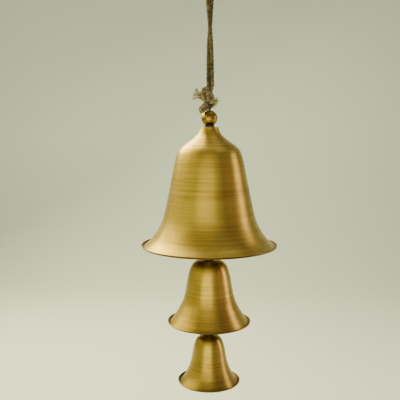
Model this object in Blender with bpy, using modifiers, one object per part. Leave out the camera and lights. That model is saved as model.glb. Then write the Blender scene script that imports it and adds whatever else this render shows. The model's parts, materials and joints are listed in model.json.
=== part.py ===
"""Three-tier hanging bell string: three spun brass bells under one another on a doubled jute rope.

Metres, +Z up, the front faces -Y. The origin is the underside of the rope loop's top, where the hook
bears. Every piece is on the vertical line through it, and each moving body has an empty on its joint.
"""
import math
from collections import namedtuple

import bmesh
import bpy
from mathutils import Matrix, Vector

MM = 0.001
GAP = 0.3 * MM  # between pieces that touch

# A bell: the radius and height of its mouth, its sheet's thickness, how many steps go round it, and its
# outline from the crown down, as radius and height over the mouth
Bell = namedtuple("Bell", "name rim_r rim_z sheet steps outline")

LARGE = Bell("large", 125 * MM, -500 * MM, 1.2 * MM, 36, [
    (16.0 * MM, 216.6 * MM),
    (17.5 * MM, 211.5 * MM),
    (22.5 * MM, 202.5 * MM),
    (33.6 * MM, 193.0 * MM),
    (46.5 * MM, 184.0 * MM),
    (56.0 * MM, 174.0 * MM),
    (61.2 * MM, 160.0 * MM),
    (66.0 * MM, 139.0 * MM),
    (73.2 * MM, 103.0 * MM),
    (81.0 * MM, 66.0 * MM),
    (86.5 * MM, 46.5 * MM),
    (94.5 * MM, 29.5 * MM),
    (106.2 * MM, 12.5 * MM),
])
MEDIUM = Bell("medium", 77.4 * MM, -644.3 * MM, 1.0 * MM, 32, [
    (21.0 * MM, 116.1 * MM),
    (26.2 * MM, 112.9 * MM),
    (32.2 * MM, 106.7 * MM),
    (36.8 * MM, 95.6 * MM),
    (40.9 * MM, 78.2 * MM),
    (43.9 * MM, 59.4 * MM),
    (48.8 * MM, 40.4 * MM),
    (55.6 * MM, 26.3 * MM),
    (62.4 * MM, 14.5 * MM),
])
SMALL = Bell("small", 58.3 * MM, -759.2 * MM, 0.9 * MM, 28, [
    (15.7 * MM, 87.4 * MM),
    (19.1 * MM, 85.0 * MM),
    (23.6 * MM, 80.3 * MM),
    (27.2 * MM, 72.0 * MM),
    (30.4 * MM, 58.9 * MM),
    (32.8 * MM, 44.7 * MM),
    (36.6 * MM, 30.4 * MM),
    (40.8 * MM, 19.8 * MM),
    (45.2 * MM, 11.0 * MM),
])

# The upturned lip around each mouth: inside radius of its bend, height of its wall, and where it starts
LIP_BEND = 2.4 * MM
LIP_WALL = 0.2 * MM
LIP_SLOPE = math.radians(43)
LIP_STEPS = 3

# Threaded shanks and what is screwed on them
SHANK_R = 1.8 * MM
BORE_R = SHANK_R + GAP
WASHER_R = 9 * MM
WASHER_T = 1.5 * MM
NUT_CORNER_R = 4.1 * MM
NUT_T = 3.2 * MM
BOSS_R = 4 * MM
BOSS_T = 7 * MM
BOSS_BORE = 5 * MM

# Wire eyes and the link rings between them
WIRE_R = 1.2 * MM
EYE_R = 4.7 * MM
LINK_R = 5.2 * MM
HOOKED = 2 * WIRE_R + GAP  # between the middles of two wires that hang in each other
BOLT_EYE_OVER_CROWN = 8 * MM

# The eye that the rope goes through, turned a little so that it is not seen edge on
ROPE_EYE_Z = LARGE.rim_z + 252.9 * MM
ROPE_EYE_R = 5.2 * MM
ROPE_EYE_WIRE_R = 1.0 * MM
ROPE_EYE_TURN = math.radians(35)

# Brass ball over the large bell's neck, and the dished seat under it
BALL_Z = LARGE.rim_z + 232.4 * MM
BALL_R = 14.55 * MM
SEAT_R = 9.3 * MM

# Striker rods with their balls and stop collars. Heights are over the bell's mouth
ROD_R = 1.5 * MM
ROD_BORE_R = ROD_R + GAP
COLLAR_R = 3.6 * MM
COLLAR_T = 4 * MM
LARGE_STRIKER_Z = 45 * MM
LARGE_STRIKER_R = 20 * MM
MEDIUM_STRIKER_Z = 29 * MM
MEDIUM_STRIKER_R = 16.5 * MM
CLAPPER_Z = 17.5 * MM
CLAPPER_R = 13 * MM
CLAPPER_BORE = 12 * MM

# Rope. The knot is an upright egg of a lump, mostly left of the strands, which bend at its middle
ROPE_R = 3.4 * MM
KNOT_Z = LARGE.rim_z + 275 * MM
KNOT_R = 10.8 * MM
KNOT_HALF_HEIGHT = 14.5 * MM
KNOT_X = -3.5 * MM
STRAND_X = 3.65 * MM
STRAND_LEAN = -0.007  # sideways drift of the pair of strands with height
ROPE_STEPS = 2  # stretches between two of the route's points
# One strand, from the knot to the loop's top: distance from the middle of the pair, height, and its turn in
# degrees about that middle. The strands wind half round each other
STRAND = [
    (STRAND_X, KNOT_Z + KNOT_HALF_HEIGHT + 1.8 * MM, 0),
    (STRAND_X, -196 * MM, 5),
    (STRAND_X, -182 * MM, 14),
    (STRAND_X, -164 * MM, 28),
    (STRAND_X, -146 * MM, 42),
    (STRAND_X, -128 * MM, 62),
    (STRAND_X, -110 * MM, 86),
    (STRAND_X, -92 * MM, 112),
    (STRAND_X, -74 * MM, 140),
    (4.0 * MM, -58 * MM, 163),
    (5.9 * MM, -43 * MM, 176),
    (9.0 * MM, -30 * MM, 180),
    (12.2 * MM, -18 * MM, 180),
    (12.8 * MM, -9.0 * MM, 180),
    (8.6 * MM, -0.6 * MM, 180),
]
# The bight under the knot, in the upright plane across the eye: distance from the axis, height over the eye
BIGHT = [
    (-10.5 * MM, 4.8 * MM),
    (-14.4 * MM, 2.2 * MM),
    (-18.4 * MM, -0.8 * MM),
    (-20.4 * MM, -4.8 * MM),
    (-17.6 * MM, -8.4 * MM),
    (-13.0 * MM, -7.0 * MM),
    (-8.0 * MM, -3.6 * MM),
    (0.0 * MM, 0.0 * MM),
    (4.6 * MM, 1.2 * MM),
    (7.2 * MM, 4.0 * MM),
    (7.8 * MM, 8.2 * MM),
]
# The two cut ends, from the middle of the knot in millimetres: x, y and z
LEFT_END = [(-17.0, -1.2, -5.2), (-20.5, -2.0, -3.2), (-24.5, -2.8, -0.8), (-29.0, -3.6, 2.0)]
RIGHT_END = [(9.8, -5.4, -7.0), (12.6, -6.0, -9.4), (13.6, -6.2, -14.0), (12.6, -6.2, -19.5)]

# How finely round pieces are divided
BALL_STEPS = 24
SMALL_PIECE_STEPS = 16
ARC_STEPS = 10


def clear_scene():
    """Empties the file, whatever it opened with."""
    for o in list(bpy.data.objects):
        bpy.data.objects.remove(o)


def material(name, colour, roughness, metallic):
    m = bpy.data.materials.new(name)
    m.use_nodes = True
    shader = m.node_tree.nodes["Principled BSDF"]
    shader.inputs["Base Color"].default_value = (*colour, 1)
    shader.inputs["Roughness"].default_value = roughness
    shader.inputs["Metallic"].default_value = metallic
    return m


def collection(name):
    c = bpy.data.collections.new(name)
    bpy.context.scene.collection.children.link(c)
    return c


def body(name, z, parent=None):
    """An empty on the axis of the joint that a moving body turns on."""
    empty = bpy.data.objects.new(name, None)
    PARTS.objects.link(empty)
    empty.parent = parent
    empty.location = (0, 0, z - height_of(parent))
    return empty


def height_of(empty):
    """World height of a body's empty."""
    z = 0.0
    while empty:
        z += empty.location.z
        empty = empty.parent
    return z


def add(name, data, z, owner, look):
    """A part, placed at world height z and parented to its body."""
    o = bpy.data.objects.new(name, data)
    PARTS.objects.link(o)
    o.parent = owner
    o.location = (0, 0, z - height_of(owner))
    data.materials.append(look)
    return o


def smoothed(points, steps):
    """Points on a Catmull-Rom curve through the given ones, steps of them for each stretch."""
    points = [Vector(p) for p in points]
    ends = [2 * points[0] - points[1], *points, 2 * points[-1] - points[-2]]
    out = []
    for a, b, c, d in zip(ends, ends[1:], ends[2:], ends[3:]):
        for i in range(steps):
            t = i / steps
            even = 2 * b + (c - a) * t + (2 * a - 5 * b + 4 * c - d) * t**2
            out.append(0.5 * (even + (3 * b - a - 3 * c + d) * t**3))
    return out + [points[-1]]


def arc(radius, middle, start, end, steps):
    """Points (r, z) on an arc about (0, middle), from start to end degrees over the horizontal."""
    angles = [math.radians(start + (end - start) * i / steps) for i in range(steps + 1)]
    return [(radius * math.cos(a), middle + radius * math.sin(a)) for a in angles]


def smooth_shade(mesh):
    mesh.shade_smooth()
    mesh.set_sharp_from_angle(angle=math.radians(35))


def turned(name, outline, z, owner, look, steps=SMALL_PIECE_STEPS, closed=True):
    """A turned piece. The outline, (r, z) from the top down its outer side, is closed or ends on the axis."""
    mesh = bpy.data.meshes.new(name)
    edges = [(i, i + 1) for i in range(len(outline) - 1)]
    if closed:
        edges.append((len(outline) - 1, 0))
    mesh.from_pydata([(r, 0, h) for r, h in outline], edges, [])
    o = add(name, mesh, z, owner, look)
    screw = o.modifiers.new("turn", "SCREW")
    screw.steps = steps
    screw.render_steps = steps
    screw.use_merge_vertices = True
    screw.merge_threshold = 0.01 * MM
    screw.use_smooth_shade = True
    return o


def ring_blank(radius, wire, turn, z):
    """A torus in an upright plane, turned about Z, as a mesh for another piece or a link."""
    bm = bmesh.new()
    section = bmesh.ops.create_circle(bm, segments=8, radius=wire)
    bmesh.ops.translate(bm, verts=section["verts"], vec=(radius, 0, 0))
    bmesh.ops.spin(
        bm,
        geom=bm.verts[:] + bm.edges[:],
        cent=(0, 0, 0),
        axis=(0, 1, 0),
        angle=math.tau,
        steps=SMALL_PIECE_STEPS,
        use_merge=True,
    )
    bmesh.ops.recalc_face_normals(bm, faces=bm.faces)
    bmesh.ops.rotate(bm, verts=bm.verts, cent=(0, 0, 0), matrix=Matrix.Rotation(turn, 3, "Z"))
    bmesh.ops.translate(bm, verts=bm.verts, vec=(0, 0, z))
    mesh = bpy.data.meshes.new("ring")
    bm.to_mesh(mesh)
    bm.free()
    smooth_shade(mesh)
    return mesh


def joined(base, mesh, name):
    """Adds a mesh to a part by a Boolean union. The mesh is in the part's own frame."""
    other = bpy.data.objects.new(name, mesh)
    CUTTERS.objects.link(other)
    other.parent = base
    other.hide_render = True
    other.display_type = "WIRE"
    union = base.modifiers.new(name, "BOOLEAN")
    union.operation = "UNION"
    union.object = other


def rod_outline(radius, length):
    """Outline of a plain rod that hangs down from its own origin."""
    return [(0, 0), (radius, 0), (radius, -length), (0, -length)]


def crown_of(bell):
    """World height of the top of a bell's crown."""
    return bell.rim_z + bell.outline[0][1]


def shell(bell, owner):
    """A spun shell with a bolt hole in its crown and an upturned lip around its mouth."""
    side = bell.rim_r - bell.sheet
    bend = (side - LIP_BEND, LIP_BEND - bell.sheet / 2)
    lip = [
        (bend[0] + LIP_BEND * math.sin(a), bend[1] - LIP_BEND * math.cos(a))
        for a in (-LIP_SLOPE + (LIP_SLOPE + math.pi / 2) * i / LIP_STEPS for i in range(LIP_STEPS + 1))
    ]
    lip.append((side, bend[1] + LIP_WALL))
    outline = [(BORE_R, bell.outline[0][1]), *bell.outline, *lip]
    o = turned(bell.name + "_bell_shell", outline, bell.rim_z, owner, BRASS, bell.steps, closed=False)
    wall = o.modifiers.new("sheet", "SOLIDIFY")
    wall.thickness = bell.sheet
    wall.offset = -1
    wall.use_even_offset = True


def washer(name, top, radius, thickness, owner):
    outline = [(BORE_R, 0), (radius, 0), (radius, -thickness), (BORE_R, -thickness)]
    return turned(name, outline, top, owner, STEEL)


def nut(name, top, owner):
    """A six-sided nut with a round bore."""
    bm = bmesh.new()
    bmesh.ops.create_cone(
        bm, cap_ends=True, segments=6, radius1=NUT_CORNER_R, radius2=NUT_CORNER_R, depth=NUT_T
    )
    mesh = bpy.data.meshes.new(name)
    bm.to_mesh(mesh)
    bm.free()
    o = add(name, mesh, top - NUT_T / 2, owner, STEEL)
    bm = bmesh.new()
    bmesh.ops.create_cone(
        bm,
        cap_ends=True,
        segments=SMALL_PIECE_STEPS,
        radius1=BORE_R,
        radius2=BORE_R,
        depth=2 * NUT_T,
    )
    tool = bpy.data.meshes.new(name + "_bore")
    bm.to_mesh(tool)
    bm.free()
    joined(o, tool, name + "_bore")
    o.modifiers[-1].operation = "DIFFERENCE"
    return o


def eye_nut(name, top, owner):
    """A boss with a blind threaded bore, and under it the eye that a link hangs from."""
    outline = [
        (0, -BOSS_BORE),
        (BORE_R, -BOSS_BORE),
        (BORE_R, 0),
        (BOSS_R, 0),
        (BOSS_R, -BOSS_T),
        (0, -BOSS_T),
    ]
    o = turned(name, outline, top, owner, STEEL, closed=False)
    joined(o, ring_blank(EYE_R, WIRE_R, 0, -BOSS_T - EYE_R), name + "_ring")
    return o


def inner_hardware(bell, owner):
    """Washer, nut and eye nut under a crown. Gives the height of the eye's lowest wire, and the shank's."""
    top = crown_of(bell) - bell.sheet - GAP
    washer(bell.name + "_inner_washer", top, WASHER_R, WASHER_T, owner)
    top -= WASHER_T + GAP
    nut(bell.name + "_lock_nut", top, owner)
    top -= NUT_T + GAP
    eye_nut(bell.name + "_clapper_eye", top, owner)
    return top - BOSS_T - 2 * EYE_R, top - BOSS_BORE + GAP


def eye_bolt(name, eye_z, eye_r, wire, turn, shank_end, owner):
    """A ring on a threaded shank that goes down through the crown."""
    shank_top = eye_z - eye_r
    outline = rod_outline(SHANK_R, shank_top - shank_end)
    o = turned(name, outline, shank_top, owner, STEEL, closed=False)
    joined(o, ring_blank(eye_r, wire, turn, eye_r), name + "_ring")
    return o


def link(name, top_wire_z, owner):
    """A closed ring in the upright plane through Y, hanging with its top wire's middle at this height."""
    return add(name, ring_blank(LINK_R, WIRE_R, math.pi / 2, 0), top_wire_z - LINK_R, owner, STEEL)


def striker_rod(name, top_eye_z, end_z, lower_eye, owner):
    """A rod with an eye at its top, and another at its lower end or a plain end."""
    shank_top = top_eye_z - EYE_R
    shank_end = end_z + EYE_R if lower_eye else end_z
    o = turned(name, rod_outline(ROD_R, shank_top - shank_end), shank_top, owner, STEEL, closed=False)
    joined(o, ring_blank(EYE_R, WIRE_R, 0, EYE_R), name + "_upper_ring")
    if lower_eye:
        joined(o, ring_blank(EYE_R, WIRE_R, 0, end_z - shank_top), name + "_lower_ring")
    return o


def bored_ball(name, z, radius, bore, owner, look):
    """A ball with a hole right through it."""
    edge = math.degrees(math.acos(bore / radius))
    return turned(name, arc(radius, 0, edge, -edge, ARC_STEPS), z, owner, look, BALL_STEPS)


def blind_ball(name, z, radius, bore, depth, owner, look):
    """A ball with a blind hole in its top."""
    edge = math.degrees(math.acos(bore / radius))
    side = arc(radius, 0, edge, -90, ARC_STEPS)
    side[-1] = (0, -radius)
    floor = side[0][1] - depth
    outline = [(0, floor), (bore, floor), *side]
    return turned(name, outline, z, owner, look, BALL_STEPS, closed=False)


def collar(name, top, owner):
    """A stop collar that keeps a striker in its place on the rod."""
    outline = [(ROD_BORE_R, 0), (COLLAR_R, 0), (COLLAR_R, -COLLAR_T), (ROD_BORE_R, -COLLAR_T)]
    return turned(name, outline, top, owner, STEEL)


def striker(prefix, z, radius, owner):
    """A striker ball between two stop collars."""
    reach = math.sqrt(radius**2 - ROD_BORE_R**2)
    bored_ball(prefix + "_striker", z, radius, ROD_BORE_R, owner, BRASS)
    collar(prefix + "_upper_collar", z + reach + GAP + COLLAR_T, owner)
    collar(prefix + "_lower_collar", z - reach - GAP, owner)


def ball_seat(owner):
    """The dished collar between the ball and the neck."""
    top = crown_of(LARGE) + GAP
    dished = [
        (r, BALL_Z - math.sqrt((BALL_R + GAP) ** 2 - r**2) - top)
        for r in (BORE_R, 0.5 * SEAT_R, SEAT_R - 0.8 * MM)
    ]
    outline = [*dished, (SEAT_R, dished[-1][1] - 0.6 * MM), (SEAT_R, 0), (BORE_R, 0)]
    return turned("ball_seat", outline, top, owner, STEEL, BALL_STEPS)


def rope(name, points, owner):
    """A plain round tube through the given world points, with filled ends."""
    curve = bpy.data.curves.new(name, "CURVE")
    curve.dimensions = "3D"
    curve.bevel_depth = ROPE_R
    curve.bevel_resolution = 2
    curve.use_fill_caps = True
    spline = curve.splines.new("POLY")
    spline.points.add(len(points) - 1)
    for point, place in zip(spline.points, points):
        point.co = (*place, 1)
    return add(name, curve, 0, owner, JUTE)


def strand_point(off, z, turn, side):
    """A point on one of the two strands, which are on opposite sides of the middle of the pair."""
    angle = -math.radians(turn + side)
    return (STRAND_LEAN * z + off * math.cos(angle), off * math.sin(angle), z)


def hanging_rope():
    """Both strands and the loop at their top, from one side of the knot to the other."""
    first = [strand_point(*p, 0) for p in STRAND]
    second = [strand_point(*p, 180) for p in reversed(STRAND)]
    rope("hanging_rope", smoothed([*first, (0, 0, ROPE_R), *second], ROPE_STEPS), None)


def knot_and_ends(owner):
    lump = [(KNOT_R / KNOT_HALF_HEIGHT * r, h) for r, h in arc(KNOT_HALF_HEIGHT, 0, 90, -90, ARC_STEPS)]
    lump[0] = (0, KNOT_HALF_HEIGHT)
    lump[-1] = (0, -KNOT_HALF_HEIGHT)
    turned("rope_knot", lump, KNOT_Z, owner, JUTE, closed=False).location.x = KNOT_X
    along = Vector((math.cos(ROPE_EYE_TURN), math.sin(ROPE_EYE_TURN), 0))
    bight = [along * u + Vector((0, 0, ROPE_EYE_Z + h)) for u, h in BIGHT]
    rope("rope_bight", smoothed(bight, ROPE_STEPS + 1), owner)
    middle = Vector((0, 0, KNOT_Z))
    for name, end in (("rope_end_left", LEFT_END), ("rope_end_right", RIGHT_END)):
        rope(name, smoothed([middle + Vector(p) * MM for p in end], ROPE_STEPS), owner)


def large_bell(owner):
    """The large bell with its finial. Gives the height of the inner eye's lowest wire."""
    shell(LARGE, owner)
    bored_ball("finial_ball", BALL_Z, BALL_R, BORE_R, owner, BRASS)
    ball_seat(owner)
    wire_z, shank_end = inner_hardware(LARGE, owner)
    turn = math.pi / 2 + ROPE_EYE_TURN
    eye_bolt("large_eye_bolt", ROPE_EYE_Z, ROPE_EYE_R, ROPE_EYE_WIRE_R, turn, shank_end, owner)
    return wire_z


def lower_bell(bell, owner):
    """The medium or the small bell with its eye bolt. Gives the height of the inner eye's lowest wire."""
    shell(bell, owner)
    washer(bell.name + "_top_washer", crown_of(bell) + GAP + WASHER_T, WASHER_R, WASHER_T, owner)
    wire_z, shank_end = inner_hardware(bell, owner)
    eye_bolt(bell.name + "_eye_bolt", bolt_eye_z(bell), EYE_R, WIRE_R, 0, shank_end, owner)
    return wire_z


def bolt_eye_z(bell):
    """Height of the middle of the eye over a lower bell's crown."""
    return crown_of(bell) + BOLT_EYE_OVER_CROWN


def link_below(name, wire_z, parent):
    """The link that hangs on a wire at this height. Gives its body, which turns about that wire."""
    owner = body("axis_" + name, wire_z, parent)
    link(name, wire_z + HOOKED, owner)
    return owner


def hung_on(name, wire_z, link_body):
    """The body that hangs in the link of a wire at this height, and the middle of its own eye."""
    axis_z = wire_z + HOOKED - 2 * LINK_R
    return body("axis_" + name, axis_z, link_body), axis_z + HOOKED - EYE_R


def connecting_rod(name, top_eye_z, below, owner):
    """A striker rod down to the link over the next bell. Gives the height of its lower eye's lowest wire."""
    lower_wire = bolt_eye_z(below) + EYE_R - HOOKED + 2 * LINK_R - HOOKED
    striker_rod(name, top_eye_z, lower_wire + EYE_R, True, owner)
    return lower_wire


def build():
    hanging_rope()
    knot = body("axis_knot", KNOT_Z)
    knot_and_ends(knot)
    large = body("axis_large_bell", ROPE_EYE_Z, knot)
    wire_z = large_bell(large)

    ring = link_below("large_link", wire_z, large)
    rod, eye_z = hung_on("large_striker_rod", wire_z, ring)
    wire_z = connecting_rod("large_striker_rod", eye_z, MEDIUM, rod)
    striker("large", LARGE.rim_z + LARGE_STRIKER_Z, LARGE_STRIKER_R, rod)

    ring = link_below("medium_link", wire_z, rod)
    owner, _ = hung_on("medium_bell", wire_z, ring)
    wire_z = lower_bell(MEDIUM, owner)

    ring = link_below("medium_inner_link", wire_z, owner)
    rod, eye_z = hung_on("medium_striker_rod", wire_z, ring)
    wire_z = connecting_rod("medium_striker_rod", eye_z, SMALL, rod)
    striker("medium", MEDIUM.rim_z + MEDIUM_STRIKER_Z, MEDIUM_STRIKER_R, rod)

    ring = link_below("small_link", wire_z, rod)
    owner, _ = hung_on("small_bell", wire_z, ring)
    wire_z = lower_bell(SMALL, owner)

    ring = link_below("small_inner_link", wire_z, owner)
    rod, eye_z = hung_on("small_clapper", wire_z, ring)
    ball_z = SMALL.rim_z + CLAPPER_Z
    ball_top = ball_z + math.sqrt(CLAPPER_R**2 - ROD_BORE_R**2)
    striker_rod("small_clapper_rod", eye_z, ball_top - CLAPPER_BORE + GAP, False, rod)
    blind_ball("small_clapper_ball", ball_z, CLAPPER_R, ROD_BORE_R, CLAPPER_BORE, rod, BRASS)
    collar("small_collar", ball_top + GAP + COLLAR_T, rod)


clear_scene()
PARTS = collection("bell_string")
CUTTERS = collection("cutters")
BRASS = material("antique_brass", (0.52, 0.36, 0.12), 0.34, 1.0)
STEEL = material("dark_steel", (0.12, 0.10, 0.08), 0.42, 1.0)
JUTE = material("jute", (0.36, 0.26, 0.15), 0.9, 0.0)
build()
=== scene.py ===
"""Looks of the three-tier bell string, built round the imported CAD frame.

Metres, +Z up, the front faces -Y.
"""
import json
import math

import bmesh
import bpy
import numpy as np
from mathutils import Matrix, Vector


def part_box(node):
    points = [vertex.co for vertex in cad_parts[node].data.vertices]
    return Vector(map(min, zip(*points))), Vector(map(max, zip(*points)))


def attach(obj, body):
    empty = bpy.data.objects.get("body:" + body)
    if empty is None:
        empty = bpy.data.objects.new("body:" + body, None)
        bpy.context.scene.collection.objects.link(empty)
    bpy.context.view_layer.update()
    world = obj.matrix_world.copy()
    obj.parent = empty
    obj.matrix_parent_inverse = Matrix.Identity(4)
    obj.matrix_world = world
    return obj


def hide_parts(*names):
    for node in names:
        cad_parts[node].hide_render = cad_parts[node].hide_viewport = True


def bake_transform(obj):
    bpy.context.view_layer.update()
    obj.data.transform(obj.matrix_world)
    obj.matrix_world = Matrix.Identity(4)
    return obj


MM = 0.001
GAP = 0.3 * MM  # what the CAD leaves between fitted pieces

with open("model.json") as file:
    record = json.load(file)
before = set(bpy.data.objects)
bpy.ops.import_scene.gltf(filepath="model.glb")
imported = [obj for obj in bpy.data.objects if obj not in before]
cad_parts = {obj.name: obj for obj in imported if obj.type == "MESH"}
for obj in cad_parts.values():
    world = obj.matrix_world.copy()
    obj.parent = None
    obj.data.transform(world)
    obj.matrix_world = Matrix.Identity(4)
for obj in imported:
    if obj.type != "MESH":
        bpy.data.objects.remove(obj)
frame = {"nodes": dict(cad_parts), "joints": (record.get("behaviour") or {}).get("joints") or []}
bpy.context.view_layer.update()
nodes = frame["nodes"]
joint_z = {j["name"]: j["pos_m"][2] for j in frame["joints"]}
draws = np.random.default_rng(7)

# ---------------------------------------------------------------- camera

CAMERA_PLACE = (-17 * MM, -1094 * MM, -293.8 * MM)
CAMERA_DIP = math.radians(6.39)
CAMERA_LENS = 54
SENSOR_WIDTH = 36


def make_camera():
    data = bpy.data.cameras.new("camera")
    data.lens = CAMERA_LENS
    data.sensor_width = SENSOR_WIDTH
    camera = bpy.data.objects.new("camera", data)
    camera.location = CAMERA_PLACE
    camera.rotation_euler = (math.pi / 2 - CAMERA_DIP, 0, 0)
    bpy.context.scene.collection.objects.link(camera)
    bpy.context.scene.camera = camera


# ---------------------------------------------------------------- lines and tubes

ACROSS = (0.31, 0.87, 0.38)  # a direction that no line here starts along
WELD = 0.0005 * MM  # closer points become one
SLIVER = 0.0001 * MM  # shorter edges are dissolved


def smoothed(points, steps):
    """Points on a Catmull-Rom curve through the given ones, steps of them for each stretch."""
    points = np.array(points, float)
    ends = np.vstack([2 * points[0] - points[1], points, 2 * points[-1] - points[-2]])
    t = (np.arange(steps) / steps)[:, None]
    out = []
    for a, b, c, d in zip(ends, ends[1:], ends[2:], ends[3:]):
        even = 2 * b + (c - a) * t + (2 * a - 5 * b + 4 * c - d) * t**2
        out.append(0.5 * (even + (3 * b - a - 3 * c + d) * t**3))
    return np.vstack([*out, points[-1:]])


def distances(points):
    """How far along a line each of its points is."""
    return np.concatenate([[0], np.cumsum(np.linalg.norm(np.diff(points, axis=0), axis=1))])


def spaced(points, step):
    """The same line with points a step apart."""
    along = distances(points)
    count = max(2, int(round(along[-1] / step)) + 1)
    even = np.linspace(0, along[-1], count)
    return np.stack([np.interp(even, along, points[:, k]) for k in range(3)], 1)


def frames_along(points):
    """Tangents and two cross directions that turn as little as they can along a line."""
    tangents = np.gradient(points, axis=0)
    tangents /= np.linalg.norm(tangents, axis=1)[:, None]
    first = np.cross(tangents[0], ACROSS)
    normals = [first / np.linalg.norm(first)]
    for tangent in tangents[1:]:
        n = normals[-1] - tangent * (normals[-1] @ tangent)
        normals.append(n / np.linalg.norm(n))
    normals = np.array(normals)
    return tangents, normals, np.cross(tangents, normals)


class Shape:
    """Vertices and faces that pile up into one mesh."""

    def __init__(self):
        self.points = []
        self.faces = []
        self.count = 0

    def add(self, points, faces):
        self.points.append(np.asarray(points, float))
        self.faces += [tuple(i + self.count for i in f) for f in faces]
        self.count += len(points)

    def rings(self, rings, closed=False):
        """A skin over rings of the same size, capped at both ends unless the last meets the first."""
        rings = np.asarray(rings, float)
        n, m = rings.shape[:2]
        faces = []
        for i in range(n if closed else n - 1):
            a, b = i * m, (i + 1) % n * m
            faces += [(a + j, a + (j + 1) % m, b + (j + 1) % m, b + j) for j in range(m)]
        points = rings.reshape(-1, 3)
        if not closed:
            middles = [rings[0].mean(0), rings[-1].mean(0)]
            points = np.vstack([points, middles])
            last = (n - 1) * m
            faces += [(n * m, (j + 1) % m, j) for j in range(m)]
            faces += [(n * m + 1, last + j, last + (j + 1) % m) for j in range(m)]
        self.add(points, faces)

    def tube(self, line, radius, sides):
        """A capped tube along a line.

        Its radius is a number, or one for each point, or one for each point and side.
        """
        _, u, v = frames_along(line)
        turn = np.linspace(0, math.tau, sides, endpoint=False)
        if np.ndim(radius) == 1:
            radius = np.asarray(radius, float).reshape(-1, 1)
        radius = np.broadcast_to(radius, (len(line), sides))
        around = u[:, None] * np.cos(turn)[None, :, None] + v[:, None] * np.sin(turn)[None, :, None]
        self.rings(line[:, None] + around * radius[..., None])

    def spun(self, outline, steps, centre=(0, 0, 0)):
        """A closed outline of (r, z), top to bottom down its outer side, turned about Z."""
        turn = np.linspace(0, math.tau, steps, endpoint=False)
        r, z = np.array(outline, float).T
        z = np.broadcast_to(z, (steps, len(r)))
        rings = np.stack([np.cos(turn)[:, None] * r, np.sin(turn)[:, None] * r, z], 2)
        self.rings((rings + np.array(centre))[::-1], closed=True)

    def piece(self, name, materials, slot, sharp=35):
        """Makes the mesh object. Edges sharper than so many degrees are shaded as edges."""
        mesh = bpy.data.meshes.new(name)
        mesh.from_pydata(np.vstack(self.points).tolist(), [], self.faces)
        for m in materials:
            mesh.materials.append(m)
        bm = bmesh.new()
        bm.from_mesh(mesh)
        bmesh.ops.remove_doubles(bm, verts=bm.verts, dist=WELD)
        bmesh.ops.dissolve_degenerate(bm, edges=bm.edges, dist=SLIVER)
        bmesh.ops.recalc_face_normals(bm, faces=bm.faces)
        bm.to_mesh(mesh)
        bm.free()
        mesh.shade_smooth()
        mesh.set_sharp_from_angle(angle=math.radians(sharp))
        o = bpy.data.objects.new(name, mesh)
        bpy.context.scene.collection.objects.link(o)
        return o


# ---------------------------------------------------------------- materials


class Nodes:
    """Short names for building a material's node tree."""

    def __init__(self, name, metallic=0.0, roughness=0.5):
        self.material = bpy.data.materials.new(name)
        self.material.use_nodes = True
        self.tree = self.material.node_tree
        self.shader = self.tree.nodes["Principled BSDF"]
        self.shader.inputs["Metallic"].default_value = metallic
        self.shader.inputs["Roughness"].default_value = roughness
        where = self.new("ShaderNodeTexCoord")
        self.place, self.facing = where.outputs["Object"], where.outputs["Normal"]

    def new(self, kind, **settings):
        node = self.tree.nodes.new(kind)
        for key, value in settings.items():
            setattr(node, key, value)
        return node

    def set(self, socket, value):
        if isinstance(value, bpy.types.NodeSocket):
            self.tree.links.new(value, socket)
        else:
            socket.default_value = value

    def noise(self, stretch, scale, detail=3.0, rough=0.5, distortion=0.0):
        """Noise over the place, with the place stretched along each axis first."""
        mapping = self.new("ShaderNodeMapping")
        mapping.inputs["Scale"].default_value = stretch
        self.set(mapping.inputs["Vector"], self.place)
        node = self.new("ShaderNodeTexNoise")
        self.set(node.inputs["Vector"], mapping.outputs[0])
        self.set(node.inputs["Scale"], scale)
        self.set(node.inputs["Detail"], detail)
        self.set(node.inputs["Roughness"], rough)
        self.set(node.inputs["Distortion"], distortion)
        return node.outputs["Fac"]

    def ramp(self, value, stops):
        node = self.new("ShaderNodeValToRGB")
        while len(node.color_ramp.elements) < len(stops):
            node.color_ramp.elements.new(0.5)
        for element, (at, colour) in zip(node.color_ramp.elements, stops):
            element.position = at
            element.color = (*colour, 1) if hasattr(colour, "__len__") else (colour, colour, colour, 1)
        self.set(node.inputs["Fac"], value)
        return node.outputs["Color"]

    def between(self, value, low, high, out_low, out_high):
        """The value's share of the way from low to high, as the same share from out_low to out_high."""
        node = self.new("ShaderNodeMapRange")
        self.set(node.inputs["Value"], value)
        self.set(node.inputs["From Min"], low)
        self.set(node.inputs["From Max"], high)
        self.set(node.inputs["To Min"], out_low)
        self.set(node.inputs["To Max"], out_high)
        return node.outputs["Result"]

    def mix(self, share, a, b, kind="MIX"):
        """Colour a, going over to colour b with the share."""
        node = self.new("ShaderNodeMix", data_type="RGBA", blend_type=kind)
        self.set(node.inputs["Factor"], share)
        # of the node's sockets with the same name, these are the ones for colour
        for socket, value in ((node.inputs[6], a), (node.inputs[7], b)):
            self.set(socket, value if isinstance(value, bpy.types.NodeSocket) else (*value, 1))
        return node.outputs[2]

    def math(self, kind, a, b):
        node = self.new("ShaderNodeMath", operation=kind)
        self.set(node.inputs[0], a)
        self.set(node.inputs[1], b)
        return node.outputs[0]

    def bump(self, height, distance):
        node = self.new("ShaderNodeBump")
        self.set(node.inputs["Height"], height)
        node.inputs["Distance"].default_value = distance
        node.inputs["Strength"].default_value = 1.0
        return node.outputs["Normal"]

    def finish(self, colour=None, roughness=None, normal=None):
        for name, value in (("Base Color", colour), ("Roughness", roughness), ("Normal", normal)):
            if value is not None:
                self.set(self.shader.inputs[name], value)
        return self.material


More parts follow.
